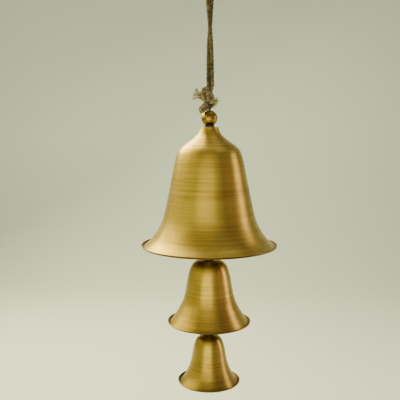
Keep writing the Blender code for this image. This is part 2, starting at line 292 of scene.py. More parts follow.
# How far noise is stretched along X, Y and Z: a far higher last number gives thin level lines
FINE_LINES = (9, 9, 1500)
BROAD_LINES = (4, 4, 330)
LINE_PATCHES = (14, 14, 22)
PATINA = (26, 26, 18)
INSIDE_LINES = (6, 6, 420)
INSIDE_OXIDE = (30, 30, 24)
STREAKS = (520, 520, 90)
FIBRES = (1900, 1900, 380)
EVEN = (1, 1, 1)

LIP_GROOVE_SHADE = (0.03, 0.014, 0.006)
UNDER_LIP_DARK_REFLECTION = (0.04, 0.02, 0.008)
FOOT_SHADE_COLOUR = (0.035, 0.01, 0.004)
# Where painted shade lies in the groove behind the lip, from the lip's own radius: its first trace, full,
# still full, gone
LIP_GROOVE_SHADE_BAND = (-6 * MM, -3.6 * MM, -1.15 * MM, -0.85 * MM)
# The same for the painted dark reflection under the lip, which goes on to its edge
UNDER_LIP_REFLECTION_BAND = (-3 * MM, -1.5 * MM)
# Where the painted shade on a ball's foot is full and where it ends, over the ball's lowest point
FOOT_SHADE_BAND = (5 * MM, 14 * MM)
FOOT_RAGGED = 5 * MM  # how much noise shifts that


def spun_brass(name, light, dark, roughness, lip_r):
    """Brass with turned lines round the upright axis, a cloudy patina, painted shade in the groove behind
    the lip, and a painted dark reflection under the lip.
    """
    n = Nodes(name, metallic=1.0)
    fine = n.noise(FINE_LINES, 1, detail=2.5, rough=0.7)
    broad = n.noise(BROAD_LINES, 1, detail=2, rough=0.6)
    strength = n.noise(LINE_PATCHES, 1, detail=1.5)
    cloud = n.noise(PATINA, 1, detail=4, rough=0.6, distortion=0.6)
    groove = n.math("ADD", n.math("MULTIPLY", fine, 0.5), n.math("MULTIPLY", broad, 0.5))
    patch = n.between(strength, 0.35, 0.65, 0.35, 1.0)
    shade = n.math("MULTIPLY", n.between(groove, 0.38, 0.6, 0.0, 1.0), patch)
    colour = n.mix(n.between(shade, 0.0, 1.0, 0.0, 0.75), light, dark)
    colour = n.mix(n.between(cloud, 0.42, 0.75, 0.0, 0.35), colour, dark)

    flat = n.new("ShaderNodeVectorMath", operation="MULTIPLY")
    n.set(flat.inputs[0], n.place)
    flat.inputs[1].default_value = (1, 1, 0)
    off_axis = n.new("ShaderNodeVectorMath", operation="LENGTH")
    n.set(off_axis.inputs[0], flat.outputs[0])
    off_lip = n.math("SUBTRACT", off_axis.outputs["Value"], lip_r)
    # painted shade: the groove between the flare and the upturned lip is darkened in the colour
    start, full, full_end, end = LIP_GROOVE_SHADE_BAND
    rises, falls = n.between(off_lip, start, full, 0.0, 1.0), n.between(off_lip, full_end, end, 1.0, 0.0)
    groove_shade = n.math("MULTIPLY", rises, falls)
    colour = n.mix(n.math("MULTIPLY", groove_shade, 0.92), colour, LIP_GROOVE_SHADE)
    # painted dark reflection and shade: the lip's downward-facing underside is darkened in the colour
    facing = n.new("ShaderNodeSeparateXYZ")
    n.set(facing.inputs[0], n.facing)
    faces_down = n.between(facing.outputs["Z"], -0.25, 0.2, 0.9, 0.0)
    under_lip_reflection = n.math("MULTIPLY", n.between(off_lip, *UNDER_LIP_REFLECTION_BAND, 0.0, 1.0), faces_down)
    colour = n.mix(under_lip_reflection, colour, UNDER_LIP_DARK_REFLECTION)

    rough = n.between(groove, 0.3, 0.7, roughness - 0.05, roughness + 0.05)
    rough = n.math("ADD", rough, n.between(cloud, 0.3, 0.8, 0.0, 0.08))
    normal = n.bump(n.math("MULTIPLY", groove, patch), 0.05 * MM)
    n.shader.inputs["Anisotropic"].default_value = 0.68
    n.shader.inputs["Anisotropic Rotation"].default_value = 0.25
    tangent = n.new("ShaderNodeTangent", direction_type="RADIAL", axis="Z")
    n.set(n.shader.inputs["Tangent"], tangent.outputs[0])
    return n.finish(colour, rough, normal)


def plain_brass(name, light, dark, roughness, foot=None):
    """Brass of the balls: half polished, darker in broad soft spots, with faint specks.

    With foot, the height of a ball's lowest point, the ball is darkened in brown over that point: painted
    shade for the dark reflection on its underside.
    """
    n = Nodes(name, metallic=1.0)
    cloud = n.noise(EVEN, 95, detail=4, rough=0.6, distortion=0.4)
    specks = n.noise(EVEN, 900, detail=2)
    colour = n.mix(n.between(cloud, 0.38, 0.72, 0.0, 0.6), light, dark)
    colour = n.mix(n.between(specks, 0.62, 0.75, 0.0, 0.35), colour, dark)
    if foot is not None:
        # painted shade: the ball goes dark brown towards its foot, standing for the dark reflection there
        height = n.new("ShaderNodeSeparateXYZ")
        n.set(height.inputs[0], n.place)
        ragged = n.math("ADD", height.outputs["Z"], n.math("MULTIPLY", cloud, FOOT_RAGGED))
        full, end = FOOT_SHADE_BAND
        colour = n.mix(n.between(ragged, foot + full, foot + end, 0.9, 0.0), colour, FOOT_SHADE_COLOUR)
    rough = n.between(cloud, 0.3, 0.7, roughness - 0.04, roughness + 0.08)
    return n.finish(colour, rough, n.bump(specks, 0.012 * MM))


def dark_steel(name):
    """Blackened steel wire and nuts, browned by age, with the black rubbed thin in places."""
    n = Nodes(name, metallic=1.0)
    cloud = n.noise(EVEN, 160, detail=4, rough=0.65)
    grain = n.noise(EVEN, 1400, detail=2)
    black, brown, rubbed = (0.035, 0.028, 0.022), (0.085, 0.062, 0.042), (0.2, 0.15, 0.1)
    colour = n.ramp(cloud, [(0.3, black), (0.55, brown), (0.78, rubbed)])
    rough = n.between(cloud, 0.25, 0.8, 0.36, 0.62)
    return n.finish(colour, rough, n.bump(grain, 0.03 * MM))


def brass_inside(name):
    """The unpolished inside of a bell: brown oxide over coarse turning marks."""
    n = Nodes(name, metallic=1.0)
    marks = n.noise(INSIDE_LINES, 1, detail=3, rough=0.6)
    cloud = n.noise(INSIDE_OXIDE, 1, detail=5, rough=0.65, distortion=0.8)
    dark, middle, light = (0.075, 0.045, 0.018), (0.15, 0.092, 0.034), (0.25, 0.165, 0.06)
    colour = n.ramp(cloud, [(0.3, dark), (0.5, middle), (0.75, light)])
    colour = n.mix(n.between(marks, 0.45, 0.7, 0.0, 0.3), colour, (0.05, 0.03, 0.012))
    rough = n.between(cloud, 0.3, 0.7, 0.42, 0.6)
    return n.finish(colour, rough, n.bump(marks, 0.08 * MM))


FIBRE_SHADOW = 10 * MM  # how far off another strand still darkens the fibre
SHADE_HEIGHTS = (-215 * MM, -200 * MM)  # from this height to that one the fibre goes over to its painted shade


def jute(name, light, dark, patch_scale, patch_share, painted_shade=None):
    """Dry plant fibre: short streaks, grey-brown with straw-coloured and nearly black ones among them, and
    painted shade where strands crowd each other.

    Given a colour for it, the rope above the knot is multiplied by that colour: painted shade over the
    hanging rope.
    """
    n = Nodes(name, roughness=0.85)
    streaks = n.noise(STREAKS, 1, detail=3, rough=0.7, distortion=0.5)
    patches = n.noise(EVEN, patch_scale, detail=2)
    fibres = n.noise(FIBRES, 1, detail=2, rough=0.6)
    middle = tuple((a + b) / 2 for a, b in zip(light, dark))
    colour = n.ramp(streaks, [(0.34, dark), (0.5, middle), (0.66, light)])
    colour = n.mix(n.between(patches, 0.42, 0.62, 0.0, patch_share), colour, dark)
    # painted shade: the fibre is darkened in its colour where other strands come close, as shade in the
    # creases
    hidden = n.new("ShaderNodeAmbientOcclusion", samples=8)
    hidden.inputs["Distance"].default_value = FIBRE_SHADOW
    crease_shade = tuple(0.4 * c for c in dark)
    colour = n.mix(n.between(hidden.outputs["AO"], 0.2, 0.8, 0.95, 0.0), colour, crease_shade)
    # painted shade: the hanging rope above the knot is darker and greener
    if painted_shade:
        height = n.new("ShaderNodeSeparateXYZ")
        n.set(height.inputs[0], n.place)
        above = n.between(height.outputs["Z"], *SHADE_HEIGHTS, 0.0, 1.0)
        colour = n.mix(above, colour, painted_shade, "MULTIPLY")
    normal = n.bump(fibres, 0.12 * MM)
    n.shader.inputs["Specular IOR Level"].default_value = 0.25
    n.shader.inputs["Sheen Weight"].default_value = 0.15
    n.shader.inputs["Sheen Roughness"].default_value = 0.5
    return n.finish(colour, n.between(streaks, 0.3, 0.7, 0.78, 0.95), normal)


def stage_paint(name, colour, roughness):
    """Paint with faint broad clouds a little darker than itself."""
    n = Nodes(name, roughness=roughness)
    cloud = n.noise(EVEN, 3, detail=2)
    darker = tuple(0.9 * c for c in colour)
    return n.finish(n.mix(n.between(cloud, 0.3, 0.7, 0.0, 0.06), colour, darker))


LIP_R = {"large": 125 * MM, "medium": 77.4 * MM, "small": 58.3 * MM}
# The polished colour, the aged one, and how rough it is. The colours differ between the bells as painted
# light and shade: the medium bell's polished colour lighter and the small bell's colours darker than the
# large one's, for how each is lit
BRASS_LOOKS = {
    "large": ((0.59, 0.41, 0.072), (0.26, 0.158, 0.024), 0.37),
    "medium": ((0.66, 0.435, 0.08), (0.25, 0.148, 0.024), 0.36),
    "small": ((0.53, 0.36, 0.07), (0.21, 0.125, 0.02), 0.36),
}
BELL_BRASS = {
    prefix: spun_brass(prefix + "_bell_brass", *look, LIP_R[prefix]) for prefix, look in BRASS_LOOKS.items()
}
FINIAL_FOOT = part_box("finial_ball")[0].z
FINIAL_BRASS = plain_brass("finial_brass", (0.34, 0.215, 0.042), (0.23, 0.12, 0.02), 0.33, FINIAL_FOOT)
STRIKER_BRASS = plain_brass("striker_brass", (0.42, 0.3, 0.12), (0.2, 0.13, 0.05), 0.36)
INSIDE = brass_inside("bell_inside")
STEEL = dark_steel("hardware_steel")
JUTE = jute("jute_rope", (0.52, 0.405, 0.235), (0.04, 0.026, 0.012), 160, 0.7, (0.43, 0.43, 0.35))
YARN = jute("jute_yarn", (0.94, 0.81, 0.54), (0.13, 0.075, 0.03), 420, 0.65)

# ---------------------------------------------------------------- rope

ROPE_R = 3.4 * MM
KNOT_Z = joint_z["rope_swing"]
ROPE_EYE_Z = joint_z["bell_swing"]
ROPE_EYE_TURN = math.radians(35)
STRAND_X = 3.3  # a little closer to the middle than the CAD's, so that the two press on each other
STRAND_LEAN = -0.007  # sideways drift of the pair of strands with height
# One strand of the doubled rope, from the knot to the loop's top: millimetres from the middle of the pair,
# height in millimetres, and its turn in degrees about that middle
STRAND = [
    (STRAND_X, -208.7, 0),
    (STRAND_X, -196, 5),
    (STRAND_X, -182, 14),
    (STRAND_X, -164, 28),
    (STRAND_X, -146, 42),
    (STRAND_X, -128, 62),
    (STRAND_X, -110, 86),
    (STRAND_X, -92, 112),
    (STRAND_X, -74, 140),
    (4.0, -58, 163),
    (5.9, -43, 176),
    (9.0, -30, 180),
    (12.2, -18, 180),
    (12.8, -9.0, 180),
    (8.6, -0.6, 180),
]
# The bight under the knot, closed up more than the CAD's: distance from the axis in the plane of the eye's
# hole, and height over the eye
BIGHT = [
    (-9.6, 4.0),
    (-13.8, 1.0),
    (-17.8, -1.9),
    (-19.8, -5.8),
    (-17.6, -8.9),
    (-13.0, -7.2),
    (-8.0, -3.6),
    (0.0, 0.0),
    (4.6, 1.2),
    (7.2, 4.0),
    (7.8, 8.2),
]
# Inside the knot, from its middle in millimetres: the left end to the bight, the bight to the right strand,
# and the left strand to the right end
KNOT_FIRST = [
    (-16.8, -0.6, -5.4),
    (-15.6, 4.8, -4.4),
    (-10.0, 9.6, -3.0),
    (-2.0, 10.6, -3.4),
    (3.0, 7.6, -9.0),
    (0.5, 1.6, -15.0),
    (-4.6, -3.0, -17.2),
]
KNOT_RIGHT = [(5.6, 2.2, -7.6), (4.4, 0.4, -1.6), (2.0, -0.2, 4.2), (3.6, 0.0, 10.2)]
KNOT_LAST = [
    (-2.3, 0.8, 10.0),
    (-2.6, 2.4, 4.0),
    (-4.0, 3.6, -4.0),
    (-8.0, 4.0, -9.6),
    (-12.4, 2.6, -6.5),
    (-12.8, 2.8, 1.0),
    (-11.2, 2.0, 7.6),
    (-10.0, -2.0, 9.8),
    (-10.8, -5.2, 5.0),
    (-11.4, -6.6, -1.6),
    (-10.4, -6.2, -8.4),
    (-7.0, -3.0, -13.8),
    (-4.4, 3.0, -13.4),
    (-4.6, 8.0, -7.0),
    (-5.8, 8.0, 1.0),
    (-6.4, 4.0, 8.0),
    (-5.4, -1.6, 10.8),
    (-4.2, -4.8, 6.4),
    (-3.8, -6.2, -0.6),
    (-3.4, -6.2, -7.6),
    (-0.6, -5.6, -13.0),
    (4.2, -3.6, -13.2),
    (7.6, -4.4, -10.4),
]
CORE_MIDDLE = (-2.5, 0.5, 0)
CORE_R = 6.4
CORE_HALF_HEIGHT = 12.5


def strand_point(off, z, turn, side):
    """A place on one of the two hanging strands, which is side degrees round from the other."""
    angle = -math.radians(turn + side)
    return np.array([STRAND_LEAN * z + off * math.cos(angle), off * math.sin(angle), z]) * MM


def rope_route():
    """Points on the middle of the whole rope, from its left end to its right end."""
    knot = np.array([0, 0, KNOT_Z])
    along = np.array([math.cos(ROPE_EYE_TURN), math.sin(ROPE_EYE_TURN), 0])
    bight = [along * u * MM + np.array([0, 0, ROPE_EYE_Z + h * MM]) for u, h in BIGHT]
    right = [strand_point(*p, 0) for p in STRAND]
    left = [strand_point(*p, 180) for p in reversed(STRAND)]
    parts = (KNOT_FIRST, KNOT_RIGHT, KNOT_LAST)
    first, up, last = ([knot + np.array(p) * MM for p in part] for part in parts)
    return [*first, *bight, *up, *right, np.array([0, 0, ROPE_R]), *left, *last]


ROPE_STEP = 0.9 * MM
STRANDS = 3
STRAND_R = 0.61 * ROPE_R
STRAND_OFF = 0.5 * ROPE_R
STRAND_SIDES = 18
ROPE_LAY = 21 * MM  # one full turn of a strand round the rope
YARNS = 6
YARN_LAY = 10 * MM
YARN_RELIEF = 0.11  # how far the yarns stand out, as a share of the strand's radius
UNEVEN = 0.035  # spread of the strand's thickness along it, as a share
UNEVEN_STEP = 4 * MM

ROPE_HAIRS = 900
YARN_HAIRS = 10
HAIR_POINTS = 5
HAIR_ROOT_R = 0.07
HAIR_TIP_R = 0.02
HAIR_DEPTH = 0.86  # where a hair's root is, as a share of the line's radius
HAIR_LEAN = (0.4, 1.3)
HAIR_LIFT = (0.35, 1.0)
HAIR_SWAY = 0.5

END_LAY = 6.5 * MM
END_OFF = 0.5 * MM
END_PLY_R = 0.68 * MM
END_STEP = 0.55 * MM


def strand_line(line, number, lay=ROPE_LAY, off=STRAND_OFF):
    """The middle of one of the three strands."""
    _, u, v = frames_along(line)
    turn = distances(line) / lay * math.tau + number * math.tau / STRANDS
    return line + off * (np.cos(turn)[:, None] * u + np.sin(turn)[:, None] * v)


def ropy_radius(line):
    """Radius for each point and side of a strand whose yarns twist the other way, a little uneven."""
    along = distances(line)
    turn = np.linspace(0, math.tau, STRAND_SIDES, endpoint=False)
    lobes = np.cos(YARNS * (turn[None] - along[:, None] / YARN_LAY * math.tau / YARNS * 2))
    places = np.arange(0, along[-1] + 2 * UNEVEN_STEP, UNEVEN_STEP)
    slow = np.interp(along, places, draws.normal(0, UNEVEN, len(places)))
    return STRAND_R * (1 + YARN_RELIEF * lobes + slow[:, None])


def hairs(shape, line, count, reach, low, high):
    """Fine fibres from low to high long that stand off a line's surface, thin three-sided tapering tubes."""
    tangents, u, v = frames_along(line)
    for _ in range(count):
        i = int(draws.integers(2, len(line) - 2))
        turn = draws.uniform(0, math.tau)
        out = math.cos(turn) * u[i] + math.sin(turn) * v[i]
        drift = tangents[i] * draws.choice([-1, 1])
        root = line[i] + out * reach * HAIR_DEPTH
        size = draws.uniform(low, high)
        lean, lift = draws.uniform(*HAIR_LEAN), draws.uniform(*HAIR_LIFT)
        side = np.cross(out, drift) * draws.normal(0, HAIR_SWAY)
        t = np.linspace(0, 1, HAIR_POINTS)[:, None]
        path = root + size * (t * lean * drift + (t - 0.35 * t**2) * lift * out + t**2 * side)
        shape.tube(path, np.linspace(HAIR_ROOT_R, HAIR_TIP_R, HAIR_POINTS) * MM, sides=3)


def make_rope():
    """The whole rope as one piece, and its middle line."""
    line = spaced(smoothed(rope_route(), 10), ROPE_STEP)
    shape = Shape()
    for number in range(STRANDS):
        strand = strand_line(line, number)
        shape.tube(strand, ropy_radius(strand), STRAND_SIDES)
    hairs(shape, line, ROPE_HAIRS, ROPE_R, 1.2 * MM, 2.6 * MM)
    rope = shape.piece("jute_rope", [JUTE], "rope", sharp=60)
    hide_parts("hanging_rope", "rope_bight", "rope_end_left", "rope_end_right")
    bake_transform(rope)
    return rope, line


def knot_core():
    """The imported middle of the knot, seen only as the dark between its turns."""
    angles = np.linspace(math.pi / 2, -math.pi / 2, 25)
    outline = [(CORE_R * MM * math.cos(a), KNOT_Z + CORE_HALF_HEIGHT * MM * math.sin(a)) for a in angles]
    outline[0], outline[-1] = (0, outline[0][1]), (0, outline[-1][1])
    shape = Shape()
    shape.spun(outline, 36, np.array(CORE_MIDDLE) * MM)
    core = shape.piece("knot_core", [JUTE], "rope")
    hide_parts("rope_knot")
    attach(core, "knot")


def yarn_fan(name, roots, heading, tips, thick):
    """The unlaid yarns of a cut end, from places between two roots out to their own tips.

    Roots and tips are in millimetres from the knot's middle.
    """
    shape = Shape()
    middle = np.array([0, 0, KNOT_Z])
    heading = np.array(heading, float)
    for i, tip in enumerate(tips):
        share = i / (len(tips) - 1)
        root = np.array(roots[0]) * (1 - share) + np.array(roots[1]) * share
        start = middle + (root + draws.normal(0, 0.5, 3)) * MM
        end = middle + np.array(tip) * MM
        bend = start + heading * 0.5 * np.linalg.norm(end - start) + draws.normal(0, 0.4, 3) * MM
        line = spaced(smoothed([start - heading * 3 * MM, start, bend, end], 8), END_STEP)
        taper = np.interp(np.linspace(0, 1, len(line)), [0, 0.7, 1], [1, 1, 0.6])
        size = thick * draws.uniform(0.85, 1.15) * taper
        for half_turn in (0, STRANDS / 2):  # two plies, opposite each other
            ply = strand_line(line, half_turn, lay=END_LAY, off=END_OFF)
            shape.tube(ply, END_PLY_R * size, sides=8)
        hairs(shape, line, YARN_HAIRS, 0.9 * MM, 1.2 * MM, 3.2 * MM)
    o = shape.piece(name, [YARN], "rope", sharp=60)
    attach(o, "knot")
    return o


LEFT_ROOTS = ((-14.0, -1.6, 1.0), (-14.2, -1.6, -11.0))
LEFT_TIPS = [
    (-23.5, -4.0, 12.0),
    (-25.5, -1.5, 9.6),
    (-27.6, -5.5, 6.4),
    (-28.6, -3.0, 2.2),
    (-29.4, 0.5, -1.0),
    (-30.6, -4.5, -3.6),
    (-32.4, -2.5, -7.2),
    (-29.8, -4.0, -10.0),
]
RIGHT_ROOTS = ((7.4, -4.4, -8.6), (5.6, -4.0, -14.6))
RIGHT_TIPS = [
    (14.6, -9.0, -6.4),
    (16.4, -7.0, -12.4),
    (15.0, -10.0, -17.6),
    (11.6, -7.0, -22.0),
    (7.4, -9.0, -24.6),
]

# ---------------------------------------------------------------- bells

CAD_WELD = 0.002 * MM
NEAR = 0.01 * MM  # CAD points this close to a line or a level are on it
OUTLINE_LEAST = 0.3 * MM  # closer points of an outline are left out
BELL_STEPS = 160
NECK_EDGE = 0.5 * MM  # the broken edge round the open neck of the large bell
RIM_ROUND = 0.35  # height of the lip's rounded edge as a share of its width
RIM_SHOULDER = 0.7  # height of the two points beside its top as a share of that
INSIDE_MARGIN = 5 * MM  # the lip's own width, which is outside brass all round


def ring_points(node):
    """The (r, z) of a turned CAD node's outline, walked from the outer edge of its top down and round."""
    bm = bmesh.new()
    bm.from_mesh(nodes[node].data)
    bmesh.ops.remove_doubles(bm, verts=bm.verts, dist=CAD_WELD)
    seam = {v for v in bm.verts if abs(v.co.y) < NEAR and v.co.x > 0}
    top = max(v.co.z for v in seam)
    at = max((v for v in seam if v.co.z > top - NEAR), key=lambda v: v.co.x)
    walked = [at]
    while True:
        near = [e.other_vert(at) for e in at.link_edges]
        near = [v for v in near if v in seam and v not in walked]
        if len(walked) == 1:
            near = [v for v in near if v.co.z < top - 0.1 * MM and v.co.x > at.co.x]
        if not near:
            break
        at = near[0]
        walked.append(at)
    outline = np.array([(v.co.x, v.co.z) for v in walked])
    bm.free()
    return outline


def apart(points, least):
    """The points without those that are closer than this to the one before."""
    kept = [points[0]]
    for p in points[1:]:
        if np.linalg.norm(p - kept[-1]) > least:
            kept.append(p)
    return np.array(kept)


def rounded(outline, radius, steps=4):
    """A closed outline with each corner cut by a short curve."""
    outline = np.array(outline, float)
    t = np.linspace(0, 1, steps)[:, None]
    out = []
    for before, corner, after in zip(np.roll(outline, 1, 0), outline, np.roll(outline, -1, 0)):
        ends = []
        for side in (before, after):
            reach = np.linalg.norm(side - corner)
            ends.append(corner + (side - corner) * min(radius, 0.45 * reach) / reach)
        out.append((1 - t) ** 2 * ends[0] + 2 * t * (1 - t) * corner + t**2 * ends[1])
    return np.vstack(out)


def bell_section(prefix, round_crown):
    """The closed section of a shell: over the crown, down the outside, round the lip and up the inside."""
    outline = ring_points(prefix + "_bell_shell")
    widest = int(np.argmax(outline[:, 0] > outline[:, 0].max() - NEAR))
    upper, under_lip_reflection = apart(outline[:widest], OUTLINE_LEAST), apart(outline[widest:-2], OUTLINE_LEAST)
    bore = outline[-1][0]
    crown_r, crown_z = upper[0]
    if round_crown:
        crown = [(0.5 * crown_r, crown_z), (0.8 * crown_r, crown_z - 0.05 * MM)]
        upper = smoothed(np.vstack([crown, upper[1:]]), 6)
    else:
        upper = smoothed(upper, 6)
        upper[1] -= (0, 0.4 * NECK_EDGE)
        edge = [(crown_r - NECK_EDGE, crown_z), (crown_r - 0.25 * NECK_EDGE, crown_z - 0.25 * NECK_EDGE)]
        upper = np.vstack([edge, upper[1:]])
    under_lip_reflection = smoothed(under_lip_reflection, 5)
    inner, outer = upper[-1], under_lip_reflection[0]
    width = outer[0] - inner[0]
    top_rise = np.array([0, RIM_ROUND * width])
    side_rise = np.array([0, RIM_SHOULDER * RIM_ROUND * width])
    lip = [
        inner * 0.8 + outer * 0.2 + side_rise,
        (inner + outer) / 2 + top_rise,
        inner * 0.2 + outer * 0.8 + side_rise,
    ]
    return np.vstack([[(bore, crown_z)], upper, lip, under_lip_reflection, [(bore, outline[-2][1])]])


def bell_shell(prefix, body, round_crown):
    """A shell whose outside and lip are turned brass, and whose inside is unpolished."""
    shape = Shape()
    shape.spun(bell_section(prefix, round_crown), BELL_STEPS)
    o = shape.piece(prefix + "_shell", [BELL_BRASS[prefix], INSIDE], "bell_brass", sharp=50)
    rim = max(v.co.x for v in o.data.vertices)
    for face in o.data.polygons:
        r = math.hypot(face.center.x, face.center.y)
        outward = (face.normal.x * face.center.x + face.normal.y * face.center.y) / max(r, MM)
        face.material_index = int(outward + face.normal.z < 0 and r < rim - INSIDE_MARGIN)
    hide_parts(prefix + "_bell_shell")
    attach(o, body)
    return o


# ---------------------------------------------------------------- balls, rods and other fittings

BALL_STEPS = 96
SMALL_STEPS = 40
SHANK_R = 1.8 * MM
ROD_R = 1.5 * MM
WIRE_R = 1.2 * MM
THREAD_PITCH = 0.7 * MM
THREAD_DEPTH = 0.09 * MM
THREAD_SIDES = 16
WIRE_SIDES = 14
WIRE_STEP = 0.3 * MM
ROD_STEP = 0.45 * MM
RING_STEPS = 72
DISC_EDGE = 0.3 * MM
EYE_NUT_EDGE = 0.6 * MM
SEAT_EDGE = 0.35 * MM
EYE_ARC = (-62, 248)  # degrees of an eye that are round, from beside its neck to where it turns back into it
ROD_NECK = 2.2  # how far from an eye's middle its wire has joined the rod, in eye radii
ROD_THIN = 1.2  # how far from an eye's middle the rod is down to the wire's thickness, in eye radii
# A nut's shares of its full width at shares of its height, so that its edges are broken
NUT_LEVELS = [(0.86, 0), (0.97, 0.1), (1, 0.18), (1, 0.82), (0.97, 0.9), (0.86, 1)]


def fit(name, shape, node, body, material, slot, sharp=35):
    """Makes the piece that stands for one CAD node."""
    o = shape.piece(name, [material], slot, sharp)
    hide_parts(node)
    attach(o, body)
    return o


def ball(name, node, body, material, slot, radius, bore, closed_foot=False):
    """A ball bored from top to bottom, or only open at its top."""
    lo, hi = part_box(node)
    middle = lo.z + radius if closed_foot else (lo.z + hi.z) / 2
    edge = math.acos(bore / radius)
    angles = np.linspace(edge, -math.pi / 2 if closed_foot else -edge, BALL_STEPS // 2)
    outline = [(radius * math.cos(a), middle + radius * math.sin(a)) for a in angles]
    if closed_foot:
        outline[-1] = (0, middle - radius)
        outline += [(0, outline[0][1])]
    shape = Shape()
    shape.spun(outline, BALL_STEPS)
    return fit(name, shape, node, body, material, slot)


def disc(name, node, body, bore):
    """A washer or a collar with broken edges, from its CAD box."""
    lo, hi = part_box(node)
    shape = Shape()
    shape.spun(rounded([(bore, hi.z), (hi.x, hi.z), (hi.x, lo.z), (bore, lo.z)], DISC_EDGE), SMALL_STEPS)
    return fit(name, shape, node, body, STEEL, "hardware")


def hex_nut(name, node, body):
    lo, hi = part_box(node)
    corners = np.linspace(0, math.tau, 6, endpoint=False)
    rings = [
        [(hi.y * k * math.sin(a), hi.y * k * math.cos(a), hi.z + (lo.z - hi.z) * h) for a in corners]
        for k, h in NUT_LEVELS
    ]
    shape = Shape()
    shape.rings(rings)
    return fit(name, shape, node, body, STEEL, "hardware", sharp=20)


def eye_line(middle_z, radius, turn, neck_z):
    """A wire bent into an eye: round from beside its neck, and back into the neck at neck_z."""
    side = 1 if neck_z < middle_z else -1
    angles = np.radians(np.linspace(*EYE_ARC, 44))
    points = [(radius * math.cos(a), middle_z + side * radius * math.sin(a)) for a in angles]
    points += [(-0.12 * radius, middle_z - side * 1.02 * radius), (0, middle_z - side * 1.25 * radius)]
    points += [(0, neck_z)]
    return np.array([(u * math.cos(turn), u * math.sin(turn), z) for u, z in points])


def threaded(shape, top_z, end_z):
    """A threaded shank down the axis, its ridges winding round it."""
    z = np.arange(top_z, end_z, -THREAD_PITCH / 6)
    turn = np.linspace(0, math.tau, THREAD_SIDES, endpoint=False)
    line = np.stack([0 * z, 0 * z, z], 1)
    ridge = np.cos(z[:, None] / THREAD_PITCH * math.tau + turn[None])
    shape.tube(line, SHANK_R - THREAD_DEPTH + THREAD_DEPTH * ridge, THREAD_SIDES)


def eye_bolt(prefix, body, eye_r, wire, turn):
    """A threaded bolt whose top is a wire eye, with the wire's neck going down into the shank."""
    node = prefix + "_eye_bolt"
    lo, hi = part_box(node)
    middle = hi.z - wire - eye_r
    shape = Shape()
    eye = smoothed(eye_line(middle, eye_r, turn, middle - eye_r - 3 * MM), 2)
    shape.tube(spaced(eye, WIRE_STEP), wire, WIRE_SIDES)
    threaded(shape, middle - eye_r - 0.2 * MM, lo.z)
    return fit(prefix + "_bolt", shape, node, body, STEEL, "hardware")


def eye_nut(prefix, body, eye_r):
    """A round boss with a wire eye under it."""
    node = prefix + "_clapper_eye"
    lo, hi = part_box(node)
    middle = lo.z + WIRE_R + eye_r
    foot = middle + eye_r
    boss = [(SHANK_R, hi.z), (hi.y, hi.z), (hi.y, foot), (SHANK_R, foot)]
    eye = smoothed(eye_line(middle, eye_r, 0, foot + 2 * MM), 2)
    shape = Shape()
    shape.spun(rounded(boss, EYE_NUT_EDGE), SMALL_STEPS)
    shape.tube(spaced(eye, WIRE_STEP), WIRE_R, WIRE_SIDES)
    return fit(prefix + "_inner_eye", shape, node, body, STEEL, "hardware")


def link_ring(name, node, body):
    """A closed ring of wire in the plane across X."""
    lo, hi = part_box(node)
    turn = np.linspace(0, math.tau, RING_STEPS, endpoint=False)
    radius, middle = hi.y - WIRE_R, (lo.z + hi.z) / 2
    around = np.stack([np.cos(turn), np.sin(turn)], 1)
    sides = np.linspace(0, math.tau, WIRE_SIDES, endpoint=False)
    wire = [(WIRE_R * math.sin(b), radius + WIRE_R * math.cos(b)) for b in sides]
    rings = [[(x, r * c, middle + r * s) for x, r in wire] for c, s in around]
    shape = Shape()
    shape.rings(rings, closed=True)
    return fit(name, shape, node, body, STEEL, "hardware")


def striker_rod(name, node, body, eye_r, lower_eye):
    """A rod whose wire is bent into an eye at its top, and at its foot too if it carries the next bell."""
    lo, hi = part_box(node)
    top = hi.z - WIRE_R - eye_r
    line = smoothed(eye_line(top, eye_r, 0, top - ROD_NECK * eye_r), 2)
    if lower_eye:
        foot = lo.z + WIRE_R + eye_r
        line = np.vstack([line, smoothed(eye_line(foot, eye_r, 0, foot + ROD_NECK * eye_r), 2)[::-1]])
        thin_below = foot + ROD_THIN * eye_r
    else:
        line = np.vstack([line, [(0, 0, lo.z)]])
        thin_below = -math.inf
    line = spaced(line, ROD_STEP)
    off = np.maximum(line[:, 2] - (top - ROD_THIN * eye_r), thin_below - line[:, 2])
    radius = np.interp(off, [-2 * MM, 0], [ROD_R, WIRE_R])
    shape = Shape()
    shape.tube(line, radius, WIRE_SIDES)
    return fit(name, shape, node, body, STEEL, "hardware")


# ---------------------------------------------------------------- the object

EYE_R = 4.7 * MM
ROPE_EYE_R = 5.2 * MM
ROPE_EYE_WIRE_R = 1.0 * MM
ROD_BORE_R = ROD_R + GAP
CLAPPER_R = 13 * MM


def make_fittings(prefix, body):
    """What holds the eye bolt inside a bell's crown, and the eye that the striker hangs from."""
    disc(prefix + "_washer_inside", prefix + "_inner_washer", body, SHANK_R + GAP)
    hex_nut(prefix + "_nut", prefix + "_lock_nut", body)
    eye_nut(prefix, body, EYE_R)


def make_striker(prefix):
    """A rod with a ball between two stop collars."""
    body, node = prefix + "_striker_rod", prefix + "_striker"
    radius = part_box(node)[1].x
    ball(prefix + "_striker_ball", node, body, STRIKER_BRASS, "striker_brass", radius, ROD_BORE_R)
    for end in ("upper", "lower"):
        disc(f"{prefix}_{end}_stop", f"{prefix}_{end}_collar", body, ROD_BORE_R)
    striker_rod(prefix + "_rod", prefix + "_striker_rod", body, EYE_R, True)


def make_finial():
    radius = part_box("finial_ball")[1].x
    ball("finial", "finial_ball", "large_bell", FINIAL_BRASS, "finial_brass", radius, SHANK_R + GAP)
    shape = Shape()
    shape.spun(rounded(ring_points("ball_seat"), SEAT_EDGE), BALL_STEPS)
    fit("finial_seat", shape, "ball_seat", "large_bell", STEEL, "hardware")


